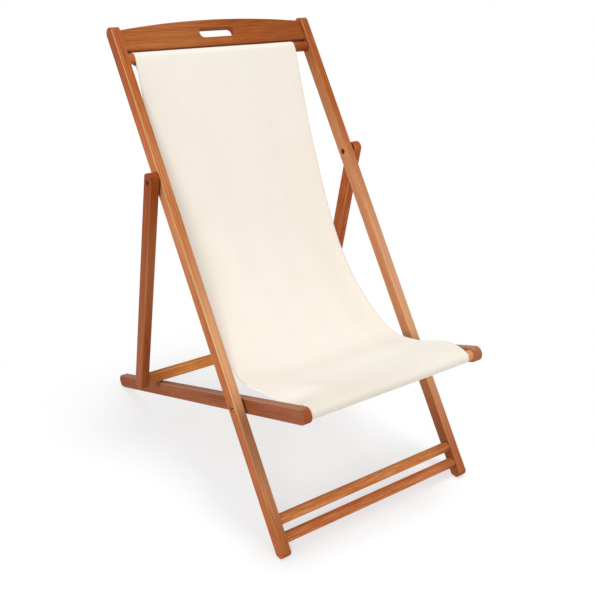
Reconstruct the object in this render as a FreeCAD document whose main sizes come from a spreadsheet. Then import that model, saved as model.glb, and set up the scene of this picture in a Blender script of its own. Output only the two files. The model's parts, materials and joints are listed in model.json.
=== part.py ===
import FreeCAD, Part
import Sketcher
import math
import os

# Folding sling chair: a long back frame, a seat frame crossed through it and a prop frame behind,
# with a canvas sling hung between two dowels. Front is -Y, up is +Z, the ground is Z = 0.
# Lengths are millimetres. The lean of every frame follows from the lengths below.

doc = FreeCAD.newDocument("SlingChair")
sheet = doc.addObject("Spreadsheet::Sheet", "Sizes")

driving = [
    ("back_width", "560", "outside width of the back frame"),
    ("back_thick", "22", "back rail, across the chair"),
    ("back_depth", "34", "back rail, front to rear"),
    ("back_upper", "920.5", "back rail, seat pivot to top end"),
    ("back_lower", "342.4", "back rail, seat pivot to foot end"),
    ("side_gap", "3.5", "gap between neighbouring frames"),
    ("seat_thick", "20", "seat rail, across the chair"),
    ("seat_depth", "35.5", "seat rail, top to bottom"),
    ("seat_front", "248", "seat rail, pivot to front end"),
    ("seat_rear", "703.4", "seat rail, pivot to rear end"),
    ("prop_thick", "22", "prop strut, across the chair"),
    ("prop_depth", "34.5", "prop strut, front to rear"),
    ("pivot_spacing", "540.5", "seat pivot to prop pivot along the back rail"),
    ("prop_length", "573.69", "prop pivot to crossbar"),
    ("prop_head", "22", "prop pivot to strut top"),
    ("prop_tail", "25", "crossbar to strut bottom"),
    ("back_end", "17.5", "radius of the back rail's round ends"),
    ("seat_end", "18", "radius of the seat rail's round ends"),
    ("prop_end", "17.75", "radius of the strut's round ends"),
    ("edge_round", "2", "rounding of the rail edges"),
    ("foot_flat", "1.8", "height planed off each round foot"),
    ("crossbar_height", "34", "prop crossbar along the strut"),
    ("crossbar_thick", "12", "prop crossbar across the strut"),
    ("crossbar_round", "3", "rounding of the crossbar edges"),
    ("notch_reach", "443.73", "seat pivot to the lip of the first notch"),
    ("notch_pitch", "60", "notch to notch"),
    ("notch_front", "15", "notch floor and front wall ahead of the lip"),
    ("notch_deep", "11", "notch depth below the rail's top edge"),
    ("notch_rake", "3.2", "run of the notch's sloping rear wall"),
    ("lip_drop", "0.8", "lip below the rail's top edge"),
    ("lip_flat", "1", "width of the lip"),
    ("lip_ramp", "21", "length of the ramp behind the lip"),
    ("rest_gap", "0.35", "air between crossbar and lip"),
    ("head_dowel", "25", "diameter of the dowel that carries the sling top"),
    ("head_dowel_at", "841", "seat pivot to head dowel"),
    ("seat_dowel", "25", "diameter of the dowel that carries the sling front"),
    ("seat_dowel_at", "229", "seat pivot to seat dowel"),
    ("foot_dowel", "25", "diameter of the two foot dowels"),
    ("upper_foot_at", "262.6", "seat pivot to upper foot dowel"),
    ("lower_foot_at", "303.5", "seat pivot to lower foot dowel"),
    ("mortise", "13", "depth of the blind mortises"),
    ("glue_gap", "0.1", "play round a glued tenon"),
    ("end_gap", "0.6", "air at the end of a tenon"),
    ("crest_low", "857.7", "seat pivot to the crest rail's lower edge"),
    ("crest_side", "53.5", "crest rail height at its ends"),
    ("crest_rise", "16", "rise of the crest arch"),
    ("crest_thick", "18", "crest rail thickness"),
    ("crest_round", "4", "rounding of the crest edges"),
    ("crest_tenon_high", "36", "crest tenon height"),
    ("crest_tenon_thick", "9", "crest tenon thickness"),
    ("grip_length", "96", "hand slot length"),
    ("grip_high", "22", "hand slot height"),
    ("grip_at", "34.4", "hand slot centre above the crest's lower edge"),
    ("crossbar_tenon", "9", "diameter of the crossbar tenons"),
    ("sleeve_wide", "9", "outside diameter of a pivot sleeve"),
    ("sleeve_short", "4", "sleeve end to bolt head"),
    ("flange_wide", "14", "diameter of bolt heads and sleeve flanges"),
    ("flange_thick", "3", "thickness of bolt heads and sleeve flanges"),
    ("flange_sunk", "1.5", "depth of bolt heads below the wood"),
    ("flange_room", "0.5", "play round a sunk head"),
    ("flange_play", "0.2", "air under a sunk head"),
    ("key_wide", "6", "hexagon socket, across flats"),
    ("key_deep", "2.4", "hexagon socket depth"),
    ("shank_wide", "6", "bolt shank diameter"),
    ("shank_play", "0.1", "play between shank and sleeve"),
    ("shank_short", "4", "shank end to sleeve flange"),
    ("pivot_play", "0.06", "running play round a sleeve"),
    ("washer_wide", "20", "washer diameter"),
    ("washer_play", "0.2", "air on each side of a washer"),
    ("sling_width", "454", "canvas width"),
    ("sling_thick", "1.6", "canvas thickness"),
    ("sling_ease", "0.3", "air between canvas and dowel"),
    ("pocket_seam", "32", "dowel centre to the pocket seam"),
    ("back_sag_at", "480", "up the back from the seat pivot"),
    ("back_sag", "76", "canvas behind the back frame there"),
    ("hollow_at", "248", "up the back from the seat pivot"),
    ("hollow_sag", "85.5", "canvas behind the back frame there"),
    ("turn_at", "66", "up the back from the seat pivot"),
    ("turn_sag", "10.5", "canvas behind the back frame there"),
    ("lap_at", "72", "forward along the seat from the pivot"),
    ("lap_rise", "32.3", "canvas above the seat rail's middle there"),
    ("knee_at", "172", "forward along the seat from the pivot"),
    ("knee_rise", "33", "canvas above the seat rail's middle there"),
]
for row, (alias, text, note) in enumerate(driving, start=1):
    sheet.set("A%d" % row, note)
    sheet.set("B%d" % row, text)
    sheet.setAlias("B%d" % row, alias)
doc.recompute()


class Dim:
    """A length that keeps its sheet expression beside its number."""

    def __init__(self, number, text):
        self.number = number
        self.text = text

    def join(self, other, sign, number):
        return Dim(number, "(%s %s %s)" % (self.text, sign, dim(other).text))

    def __add__(self, other):
        return self.join(other, "+", self.number + dim(other).number)

    def __sub__(self, other):
        return self.join(other, "-", self.number - dim(other).number)

    def __mul__(self, other):
        return self.join(other, "*", self.number * dim(other).number)

    def __truediv__(self, other):
        return self.join(other, "/", self.number / dim(other).number)

    def __neg__(self):
        return Dim(0.0, "0") - self


def dim(value):
    if isinstance(value, Dim):
        return value
    if isinstance(value, str):
        return Dim(float(sheet.get(value)), "Sizes." + value)
    return Dim(float(value), repr(float(value)))


def num(alias):
    return float(sheet.get(alias))


# Posture: the crossbar's lowest edge rests on the first notch's lip, and both pairs of feet touch the
# ground. The fold angle between back and seat, and the prop's angle, follow from that triangle.
lip_level = num("seat_depth") / 2 - num("lip_drop")
bar_up = num("crossbar_height") / 2 - num("crossbar_round")
bar_out = num("crossbar_thick") / 2 - num("crossbar_round")
strut_tilt = math.radians(30)
for step in range(200):
    bar_rise = lip_level + num("rest_gap") + num("crossbar_round")
    bar_rise += bar_up * math.cos(strut_tilt) + bar_out * math.sin(strut_tilt)
    bar_reach = num("notch_reach") - bar_up * math.sin(strut_tilt) + bar_out * math.cos(strut_tilt)
    span = math.hypot(bar_reach, bar_rise)
    spacing = num("pivot_spacing")
    prop = num("prop_length")
    fold = math.atan2(bar_rise, bar_reach)
    fold += math.acos((spacing**2 + span**2 - prop**2) / (2 * spacing * span))
    swing = math.acos((spacing**2 + prop**2 - span**2) / (2 * spacing * prop))
    strut_tilt = fold + swing - math.pi / 2

back_round = num("back_end")
seat_round = num("seat_end")
foot_run = num("back_lower") - back_round
rear_run = num("seat_rear") - seat_round
ground_x = foot_run + rear_run * math.cos(fold)
ground_y = rear_run * math.sin(fold)
lean = math.acos((seat_round - back_round) / math.hypot(ground_x, ground_y))
lean -= math.atan2(ground_y, ground_x)
slope = fold - math.pi / 2 + lean
prop_lean = swing - lean
pivot_height = foot_run * math.cos(lean) + back_round - num("foot_flat")

Vec = FreeCAD.Vector
across = Vec(1, 0, 0)
back_up = Vec(0, math.sin(lean), math.cos(lean))
seat_back = Vec(0, math.cos(slope), -math.sin(slope))
prop_down = Vec(0, math.sin(prop_lean), -math.cos(prop_lean))
back_front = across.cross(back_up)
seat_top = across.cross(seat_back)

# The origin lies on the ground under the middle of the chair's box.
ends = [
    (back_up * (num("back_upper") - back_round), back_round),
    (back_up * -foot_run, back_round),
    (seat_back * rear_run, seat_round),
    (seat_back * -(num("seat_front") - seat_round), seat_round),
]
rear_most = max(place.y + radius for place, radius in ends)
front_most = min(place.y - radius for place, radius in ends)
seat_pivot = Vec(0, -(rear_most + front_most) / 2, pivot_height)
prop_pivot = seat_pivot + back_up * spacing

back_half = num("back_width") / 2
back_inner = back_half - num("back_thick")
seat_half = back_inner - num("side_gap")
prop_half = back_half + num("side_gap") + num("prop_thick")
sides = [("left", -1), ("right", 1)]


def axes(origin, along, inward):
    side = inward.cross(along)
    matrix = FreeCAD.Matrix(
        along.x, side.x, inward.x, origin.x,
        along.y, side.y, inward.y, origin.y,
        along.z, side.z, inward.z, origin.z,
        0, 0, 0, 1,
    )
    return FreeCAD.Placement(matrix)


def new_body(label):
    body = doc.addObject("PartDesign::Body", label)
    body.Label = label
    return body


def base_sketch(body, name):
    sketch = body.newObject("Sketcher::SketchObject", name)
    plane = [item for item in body.Origin.OriginFeatures if item.Role == "XY_Plane"][0]
    sketch.AttachmentSupport = [(plane, "")]
    sketch.MapMode = "FlatFace"
    return sketch


def far_sketch(body, name):
    doc.recompute()
    tip = body.Tip
    top = tip.Shape.BoundBox.ZMax
    best = None
    for index, face in enumerate(tip.Shape.Faces, start=1):
        flat = face.BoundBox.ZLength < 1e-6 and abs(face.BoundBox.ZMax - top) < 1e-6
        if flat and (best is None or face.Area > best[1]):
            best = ("Face%d" % index, face.Area)
    sketch = body.newObject("Sketcher::SketchObject", name)
    sketch.AttachmentSupport = [(tip, best[0])]
    sketch.MapMode = "FlatFace"
    return sketch


def bind(sketch, kind, elements, value):
    value = dim(value)
    index = sketch.addConstraint(Sketcher.Constraint(kind, *elements, value.number))
    name = "size%d" % index
    sketch.renameConstraint(index, name)
    sketch.setExpression("Constraints." + name, value.text)


def circle(sketch, x, y, radius):
    x = dim(x)
    y = dim(y)
    radius = dim(radius)
    place = Vec(x.number, y.number, 0)
    ring = sketch.addGeometry(Part.Circle(place, Vec(0, 0, 1), radius.number), False)
    bind(sketch, "Radius", (ring,), radius)
    bind(sketch, "DistanceX", (-1, 1, ring, 3), x)
    bind(sketch, "DistanceY", (-1, 1, ring, 3), y)


def outline(sketch, points):
    corners = [(dim(x), dim(y)) for x, y in points]
    count = len(corners)
    lines = []
    for index, (x, y) in enumerate(corners):
        tail = corners[(index + 1) % count]
        start = Vec(x.number, y.number, 0)
        end = Vec(tail[0].number, tail[1].number, 0)
        lines.append(sketch.addGeometry(Part.LineSegment(start, end), False))
    for index in range(count):
        follow = lines[(index + 1) % count]
        sketch.addConstraint(Sketcher.Constraint("Coincident", lines[index], 2, follow, 1))
    for line, (x, y) in zip(lines, corners):
        bind(sketch, "DistanceX", (-1, 1, line, 1), x)
        bind(sketch, "DistanceY", (-1, 1, line, 1), y)
    return lines


def stadium(sketch, start, end, radius, level=0):
    """A round-ended strip between two centres on a line parallel to X."""
    start = dim(start)
    end = dim(end)
    radius = dim(radius)
    level = dim(level)
    up = Vec(0, radius.number, 0)
    first = Vec(start.number, level.number, 0)
    last = Vec(end.number, level.number, 0)
    half = math.pi / 2
    normal = Vec(0, 0, 1)
    low = sketch.addGeometry(Part.LineSegment(first - up, last - up), False)
    cap = Part.ArcOfCircle(Part.Circle(last, normal, radius.number), -half, half)
    right = sketch.addGeometry(cap, False)
    high = sketch.addGeometry(Part.LineSegment(last + up, first + up), False)
    cap = Part.ArcOfCircle(Part.Circle(first, normal, radius.number), half, 3 * half)
    left = sketch.addGeometry(cap, False)
    sketch.addConstraint(Sketcher.Constraint("Tangent", low, 2, right, 1))
    sketch.addConstraint(Sketcher.Constraint("Tangent", right, 2, high, 1))
    sketch.addConstraint(Sketcher.Constraint("Tangent", high, 2, left, 1))
    sketch.addConstraint(Sketcher.Constraint("Tangent", left, 2, low, 1))
    bind(sketch, "Radius", (right,), radius)
    bind(sketch, "DistanceX", (-1, 1, right, 3), end)
    bind(sketch, "DistanceY", (-1, 1, right, 3), level)
    bind(sketch, "DistanceX", (-1, 1, left, 3), start)
    bind(sketch, "DistanceY", (-1, 1, left, 3), level)


def pad(body, sketch, length, middle=False):
    feature = body.newObject("PartDesign::Pad", sketch.Name + "Pad")
    feature.Profile = sketch
    feature.setExpression("Length", dim(length).text)
    if middle:
        feature.Midplane = True
    doc.recompute()
    return feature


def cut(body, sketch, depth=None, reverse=False):
    before = body.Shape.Volume
    feature = body.newObject("PartDesign::Pocket", sketch.Name + "Cut")
    feature.Profile = sketch
    feature.Reversed = reverse
    if depth is None:
        feature.Type = "ThroughAll"
    else:
        feature.setExpression("Length", dim(depth).text)
    doc.recompute()
    if body.Shape.Volume > before - 1e-3:
        raise RuntimeError("%s removed nothing" % feature.Name)
    return feature


def soften(body, radius, wanted):
    base = body.Tip
    names = ["Edge%d" % i for i, edge in enumerate(base.Shape.Edges, start=1) if wanted(edge)]
    feature = body.newObject("PartDesign::Fillet", base.Name + "Round")
    feature.Base = (base, names)
    feature.setExpression("Radius", dim(radius).text)
    doc.recompute()
    return feature


def lies_flat(edge):
    return edge.BoundBox.ZLength < 1e-6


def runs_along(edge):
    return edge.BoundBox.YLength < 1e-6 and edge.BoundBox.ZLength < 1e-6


def round_end(body, name, tip, way, radius, depth):
    """Cuts a rail's end to an arc whose crown is at tip, pointing along X by way."""
    radius = dim(radius)
    centre = dim(tip) - radius * way
    clear = dim(tip) + radius * way
    rim = (radius + dim(depth) / 2) / 2
    reach = math.asin(rim.number / radius.number)
    facing = 0 if way > 0 else math.pi
    sketch = base_sketch(body, body.Label + name)
    ring = Part.Circle(Vec(centre.number, 0, 0), Vec(0, 0, 1), radius.number)
    arc = sketch.addGeometry(Part.ArcOfCircle(ring, facing - reach, facing + reach), False)
    start = sketch.getPoint(arc, 1)
    end = sketch.getPoint(arc, 2)
    outer = [Vec(clear.number, end.y, 0), Vec(clear.number, start.y, 0)]
    lines = []
    for tail, tip_at in ((end, outer[0]), (outer[0], outer[1]), (outer[1], start)):
        lines.append(sketch.addGeometry(Part.LineSegment(tail, tip_at), False))
    chain = [arc] + lines
    for index, item in enumerate(chain):
        sketch.addConstraint(Sketcher.Constraint("Coincident", item, 2, chain[(index + 1) % 4], 1))
    bind(sketch, "Radius", (arc,), radius)
    bind(sketch, "DistanceX", (-1, 1, arc, 3), centre)
    bind(sketch, "DistanceY", (-1, 1, arc, 3), 0)
    bind(sketch, "DistanceY", (-1, 1, arc, 1), rim * -way)
    bind(sketch, "DistanceY", (-1, 1, arc, 2), rim * way)
    for line, level in ((lines[1], rim * way), (lines[2], rim * -way)):
        bind(sketch, "DistanceX", (-1, 1, line, 1), clear)
        bind(sketch, "DistanceY", (-1, 1, line, 1), level)
    cut(body, sketch, reverse=True)


def rail(label, start, end, depth, thick, radius):
    """A rail with eased long edges and ends cut to an arc, its outer face on the base plane."""
    body = new_body(label)
    sketch = base_sketch(body, label + "Outline")
    tail = -dim(start)
    tip = dim(end)
    half = dim(depth) / 2
    outline(sketch, [(tail, -half), (tip, -half), (tip, half), (tail, half)])
    pad(body, sketch, thick)
    soften(body, "edge_round", runs_along)
    round_end(body, "Tail", tail, -1, radius, depth)
    round_end(body, "Tip", tip, 1, radius, depth)
    return body


def bore(body, name, x):
    sketch = base_sketch(body, body.Label + name)
    circle(sketch, x, 0, dim("sleeve_wide") / 2 + "pivot_play")
    cut(body, sketch, reverse=True)


def outer_recess(body, name, x):
    sketch = base_sketch(body, body.Label + name)
    circle(sketch, x, 0, dim("flange_wide") / 2 + "flange_room")
    cut(body, sketch, dim("flange_sunk") + "flange_thick" + "flange_play", reverse=True)


def inner_recess(body, name, x):
    sketch = far_sketch(body, body.Label + name)
    circle(sketch, x, 0, dim("flange_wide") / 2 + "flange_room")
    cut(body, sketch, dim("flange_sunk") + "flange_thick" + "flange_play")


def plane_foot(body, along, side, reach, depth):
    """Planes a rail's round foot flat where it meets the ground, at the given reach from the pivot."""
    down = Vec(-along.z, -side.z, 0)
    level = Vec(-side.z, along.z, 0)
    middle = down * pivot_height + level * level.dot(Vec(reach, 0, 0))
    spread = ((-depth, 0), (depth, 0), (depth, depth), (-depth, depth))
    corners = [middle + level * a + down * b for a, b in spread]
    sketch = base_sketch(body, body.Label + "Foot")
    lines = []
    for index, start in enumerate(corners):
        end = corners[(index + 1) % 4]
        lines.append(sketch.addGeometry(Part.LineSegment(start, end), False))
    for index, line in enumerate(lines):
        follow = lines[(index + 1) % 4]
        sketch.addConstraint(Sketcher.Constraint("Coincident", line, 2, follow, 1))
        sketch.addConstraint(Sketcher.Constraint("Block", line))
    cut(body, sketch, reverse=True)


pieces = []


def keep(body, place):
    body.Placement = place
    pieces.append(body)


# Back rails: pivot bores at the seat and the prop, blind mortises for the crest and three dowels.
for side, sign in sides:
    body = rail("back_rail_" + side, "back_lower", "back_upper", "back_depth", "back_thick", "back_end")
    inward = across * -sign
    place = axes(seat_pivot + across * (sign * back_half), back_up, inward)
    plane_foot(body, back_up, inward.cross(back_up), -foot_run, num("back_depth"))
    bore(body, "SeatBore", 0)
    outer_recess(body, "SeatRecess", 0)
    bore(body, "PropBore", "pivot_spacing")
    inner_recess(body, "PropRecess", "pivot_spacing")
    sketch = far_sketch(body, body.Label + "Mortises")
    circle(sketch, "head_dowel_at", 0, dim("head_dowel") / 2 + "glue_gap")
    circle(sketch, -dim("upper_foot_at"), 0, dim("foot_dowel") / 2 + "glue_gap")
    circle(sketch, -dim("lower_foot_at"), 0, dim("foot_dowel") / 2 + "glue_gap")
    low = dim("crest_low") + (dim("crest_side") - "crest_tenon_high") / 2 - "glue_gap"
    high = dim("crest_low") + (dim("crest_side") + "crest_tenon_high") / 2 + "glue_gap"
    wide = dim("crest_tenon_thick") / 2 + "glue_gap"
    outline(sketch, [(low, -wide), (high, -wide), (high, wide), (low, wide)])
    cut(body, sketch, "mortise")
    keep(body, place)

# Seat rails: three notches in the top edge behind the pivot, each with an eased lip at its rear.
for side, sign in sides:
    body = rail("seat_rail_" + side, "seat_front", "seat_rear", "seat_depth", "seat_thick", "seat_end")
    inward = across * -sign
    place = axes(seat_pivot + across * (sign * seat_half), seat_back, inward)
    plane_foot(body, seat_back, inward.cross(seat_back), rear_run, num("seat_depth"))
    up = -sign
    top = dim("seat_depth") / 2
    for count in range(3):
        lip = dim("notch_reach") + dim("notch_pitch") * count
        floor = top - "notch_deep"
        ledge = top - "lip_drop"
        above = top + "lip_drop"
        corners = [
            (lip - "notch_front", above),
            (lip - "notch_front", floor),
            (lip - dim("lip_flat") / 2 - "notch_rake", floor),
            (lip - dim("lip_flat") / 2, ledge),
            (lip + dim("lip_flat") / 2, ledge),
            (lip + "lip_ramp", top),
            (lip + "lip_ramp", above),
        ]
        sketch = base_sketch(body, "%sNotch%d" % (body.Label, count))
        outline(sketch, [(x, y * up) for x, y in corners])
        cut(body, sketch, reverse=True)
    bore(body, "PivotBore", 0)
    inner_recess(body, "PivotRecess", 0)
    sketch = far_sketch(body, body.Label + "Mortise")
    circle(sketch, -dim("seat_dowel_at"), 0, dim("seat_dowel") / 2 + "glue_gap")
    cut(body, sketch, "mortise")
    keep(body, place)

# Prop struts, with a blind mortise for the crossbar.
for side, sign in sides:
    end = dim("prop_length") + "prop_tail"
    body = rail("prop_strut_" + side, "prop_head", end, "prop_depth", "prop_thick", "prop_end")
    place = axes(prop_pivot + across * (sign * prop_half), prop_down, across * -sign)
    bore(body, "PivotBore", 0)
    outer_recess(body, "PivotRecess", 0)
    sketch = far_sketch(body, body.Label + "Mortise")
    circle(sketch, "prop_length", 0, dim("crossbar_tenon") / 2 + "glue_gap")
    cut(body, sketch, "mortise")
    keep(body, place)


def dowel(label, centre, diameter, clear):
    """A round bar whose ends stand in the blind mortises of two rails, clear apart."""
    body = new_body(label)
    sketch = base_sketch(body, label + "Section")
    circle(sketch, 0, 0, dim(diameter) / 2)
    pad(body, sketch, clear + (dim("mortise") - "end_gap") * 2, middle=True)
    keep(body, axes(centre, back_up, across))


back_clear = dim("back_width") - dim("back_thick") * 2
seat_clear = back_clear - dim("side_gap") * 2 - dim("seat_thick") * 2
head_centre = seat_pivot + back_up * num("head_dowel_at")
knee_centre = seat_pivot - seat_back * num("seat_dowel_at")
dowel("head_dowel", head_centre, "head_dowel", back_clear)
dowel("foot_dowel_upper", seat_pivot - back_up * num("upper_foot_at"), "foot_dowel", back_clear)
dowel("foot_dowel_lower", seat_pivot - back_up * num("lower_foot_at"), "foot_dowel", back_clear)
dowel("seat_dowel", knee_centre, "seat_dowel", seat_clear)

# Prop crossbar: an eased rectangular bar with round tenons.
body = new_body("prop_crossbar")
sketch = base_sketch(body, "CrossbarSection")
tall = dim("crossbar_height") / 2
wide = dim("crossbar_thick") / 2
outline(sketch, [(-tall, -wide), (tall, -wide), (tall, wide), (-tall, wide)])
prop_clear = dim("back_width") + dim("side_gap") * 2
pad(body, sketch, prop_clear, middle=True)
soften(body, "crossbar_round", lambda edge: edge.BoundBox.ZLength > 1)
sketch = base_sketch(body, "CrossbarTenons")
circle(sketch, 0, 0, dim("crossbar_tenon") / 2)
pad(body, sketch, prop_clear + (dim("mortise") - "end_gap") * 2, middle=True)
keep(body, axes(prop_pivot + prop_down * prop, prop_down, across))

# Crest rail: straight below, arched above, with a round-ended hand slot and a tenon at each end.
body = new_body("crest_rail")
sketch = base_sketch(body, "CrestBoard")
half = back_clear / 2
lower = dim("crest_low")
upper = lower + "crest_side"
peak = upper + "crest_rise"
low_left = Vec(-half.number, lower.number, 0)
low_right = Vec(half.number, lower.number, 0)
high_right = Vec(half.number, upper.number, 0)
high_left = Vec(-half.number, upper.number, 0)
base = sketch.addGeometry(Part.LineSegment(low_left, low_right), False)
right = sketch.addGeometry(Part.LineSegment(low_right, high_right), False)
bow = Part.Arc(high_right, Vec(0, peak.number, 0), high_left)
arch = sketch.addGeometry(bow, False)
left = sketch.addGeometry(Part.LineSegment(high_left, low_left), False)
arch_start = 1 if sketch.getPoint(arch, 1).x > 0 else 2
arch_end = 3 - arch_start
sketch.addConstraint(Sketcher.Constraint("Coincident", base, 2, right, 1))
sketch.addConstraint(Sketcher.Constraint("Coincident", right, 2, arch, arch_start))
sketch.addConstraint(Sketcher.Constraint("Coincident", arch, arch_end, left, 1))
sketch.addConstraint(Sketcher.Constraint("Coincident", left, 2, base, 1))
bind(sketch, "DistanceX", (-1, 1, base, 1), -half)
bind(sketch, "DistanceY", (-1, 1, base, 1), lower)
bind(sketch, "DistanceX", (-1, 1, base, 2), half)
bind(sketch, "DistanceY", (-1, 1, base, 2), lower)
bind(sketch, "DistanceX", (-1, 1, right, 2), half)
bind(sketch, "DistanceY", (-1, 1, right, 2), upper)
bind(sketch, "DistanceX", (-1, 1, left, 1), -half)
bind(sketch, "DistanceY", (-1, 1, left, 1), upper)
bind(sketch, "Radius", (arch,), (half * half + dim("crest_rise") * "crest_rise") / (dim("crest_rise") * 2))
grip_radius = dim("grip_high") / 2
grip_end = dim("grip_length") / 2 - grip_radius
stadium(sketch, -grip_end, grip_end, grip_radius, lower + "grip_at")
pad(body, sketch, "crest_thick", middle=True)
ends_at = half.number - 1


def crest_edge(edge):
    return lies_flat(edge) and abs(edge.CenterOfMass.x) < ends_at


soften(body, "crest_round", crest_edge)
sketch = base_sketch(body, "CrestTenons")
reach = half + "mortise" - "end_gap"
low = lower + (dim("crest_side") - "crest_tenon_high") / 2
high = lower + (dim("crest_side") + "crest_tenon_high") / 2
inner = half - "mortise"
outline(sketch, [(inner, low), (reach, low), (reach, high), (inner, high)])
outline(sketch, [(-reach, low), (-inner, low), (-inner, high), (-reach, high)])
pad(body, sketch, "crest_tenon_thick", middle=True)
keep(body, axes(seat_pivot, across, back_front))


def bolt(label, place, stack):
    """A pan-headed bolt; its head's outer face is on the base plane and its shank points inward."""
    body = new_body(label)
    sketch = base_sketch(body, label + "Head")
    circle(sketch, 0, 0, dim("flange_wide") / 2)
    pad(body, sketch, "flange_thick")
    sketch = base_sketch(body, label + "Shank")
    circle(sketch, 0, 0, dim("shank_wide") / 2)
    pad(body, sketch, stack - dim("flange_sunk") * 2 - "flange_thick" - "shank_short")
    key_socket(body)
    keep(body, place)


def key_socket(body):
    sketch = base_sketch(body, body.Label + "Key")
    flat = dim("key_wide") / 2
    reach = dim("key_wide") / math.sqrt(3)
    corners = [
        (flat, reach / 2), (dim(0), reach), (-flat, reach / 2),
        (-flat, -reach / 2), (dim(0), -reach), (flat, -reach / 2),
    ]
    outline(sketch, corners)
    cut(body, sketch, "key_deep", reverse=True)


def sleeve(label, place, stack):
    """A flanged sleeve that the bolt screws into and the inner rail turns on."""
    body = new_body(label)
    sketch = base_sketch(body, label + "Flange")
    circle(sketch, 0, 0, dim("flange_wide") / 2)
    pad(body, sketch, "flange_thick")
    sketch = base_sketch(body, label + "Barrel")
    circle(sketch, 0, 0, dim("sleeve_wide") / 2)
    barrel = stack - dim("flange_sunk") * 2 - "flange_thick" - "sleeve_short"
    pad(body, sketch, barrel)
    sketch = far_sketch(body, label + "Thread")
    circle(sketch, 0, 0, dim("shank_wide") / 2 + "shank_play")
    cut(body, sketch, barrel - "flange_thick")
    key_socket(body)
    keep(body, place)


def washer(label, place):
    body = new_body(label)
    sketch = base_sketch(body, label + "Ring")
    circle(sketch, 0, 0, dim("washer_wide") / 2)
    circle(sketch, 0, 0, dim("sleeve_wide") / 2 + "pivot_play")
    pad(body, sketch, dim("side_gap") - dim("washer_play") * 2)
    keep(body, place)


# Pivot hardware: a bolt sunk in the outer rail meets a flanged sleeve sunk in the inner rail.
seat_stack = dim("back_thick") + "side_gap" + "seat_thick"
prop_stack = dim("prop_thick") + "side_gap" + "back_thick"
for side, sign in sides:
    inward = across * -sign
    sunk = num("flange_sunk")
    play = num("washer_play")
    outer = seat_pivot + across * (sign * (back_half - sunk))
    inner = seat_pivot + across * (sign * (seat_half - num("seat_thick") + sunk))
    between = seat_pivot + across * (sign * (back_inner - play))
    bolt("seat_pivot_bolt_" + side, axes(outer, back_up, inward), seat_stack)
    sleeve("seat_pivot_sleeve_" + side, axes(inner, back_up, across * sign), seat_stack)
    washer("seat_pivot_washer_" + side, axes(between, back_up, inward))
    outer = prop_pivot + across * (sign * (prop_half - sunk))
    inner = prop_pivot + across * (sign * (back_inner + sunk))
    between = prop_pivot + across * (sign * (prop_half - num("prop_thick") - play))
    bolt("prop_pivot_bolt_" + side, axes(outer, back_up, inward), prop_stack)
    sleeve("prop_pivot_sleeve_" + side, axes(inner, back_up, across * sign), prop_stack)
    washer("prop_pivot_washer_" + side, axes(between, back_up, inward))


# Sling: one strip of canvas seen from the side, in arcs, with a sewn pocket round each dowel.
def turned(way):
    return across.cross(way)


def arc_between(start, way, end):
    """An arc that leaves start along way and arrives at end: its middle point and arriving direction."""
    chord = end - start
    unit = Vec(chord).normalize()
    arrive = unit * (2 * way.dot(unit)) - way
    bend = way.dot(turned(unit))
    angle = math.atan2(bend, way.dot(unit))
    middle = (start + end) * 0.5 + turned(unit) * (chord.Length / 2 * math.tan(angle / 2))
    return middle, arrive


def biarc(start, way, end, arrive):
    """The joint of two arcs that run smoothly from one place and direction to another."""
    chord = end - start
    both = way + arrive
    spread = 2 * (1 - way.dot(arrive))
    along = chord.dot(both)
    if spread < 1e-9:
        reach = chord.dot(chord) / (2 * along)
    else:
        reach = (math.sqrt(along**2 + spread * chord.dot(chord)) - along) / spread
    return (start + way * reach + end - arrive * reach) * 0.5


pocket = num("head_dowel") / 2 + num("sling_ease") + num("sling_thick") / 2
nose = num("seat_dowel") / 2 + num("sling_ease") + num("sling_thick") / 2
behind = [("back_sag_at", "back_sag"), ("hollow_at", "hollow_sag"), ("turn_at", "turn_sag")]
above = [("lap_at", "lap_rise"), ("knee_at", "knee_rise")]
stations = [seat_pivot + back_up * num(at) - back_front * num(sag) for at, sag in behind]
stations += [seat_pivot - seat_back * num(at) + seat_top * num(rise) for at, rise in above]
first = head_centre + back_front * pocket
last = knee_centre + seat_top * nose
for step in range(30):
    path = [first] + stations + [last]
    ways = [None] + [(path[i + 1] - path[i - 1]).normalize() for i in range(1, 6)] + [None]
    chord = (path[1] - path[0]).normalize()
    ways[0] = chord * (2 * ways[1].dot(chord)) - ways[1]
    chord = (path[6] - path[5]).normalize()
    ways[6] = chord * (2 * ways[5].dot(chord)) - ways[5]
    first = head_centre - turned(ways[0]) * pocket
    last = knee_centre - turned(ways[6]) * nose


def wrap(centre, start, way, radius, sense):
    """Places round a dowel, from start along way, up to where the pocket runs straight to its seam."""
    turn = sense * (360 - 2 * math.degrees(math.atan2(num("pocket_seam"), radius)))
    steps = 4
    places = []
    for step in range(steps + 1):
        spin = FreeCAD.Rotation(across, turn * step / steps)
        places.append((centre + spin.multVec(start - centre), spin.multVec(way)))
    return places


head_seam = first + ways[0] * num("pocket_seam")
knee_seam = last - ways[6] * num("pocket_seam")
head_wrap = wrap(head_centre, first, ways[0] * -1, pocket, -1)
knee_wrap = wrap(knee_centre, last, ways[6], nose, 1)

route = [(place, way * -1) for place, way in reversed(head_wrap)]
for start, way, end, arrive in zip(path[:-1], ways[:-1], path[1:], ways[1:]):
    joint = biarc(start, way, end, arrive)
    route += [(joint, arc_between(start, way, joint)[1]), (end, arrive)]
route += knee_wrap[1:]


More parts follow.
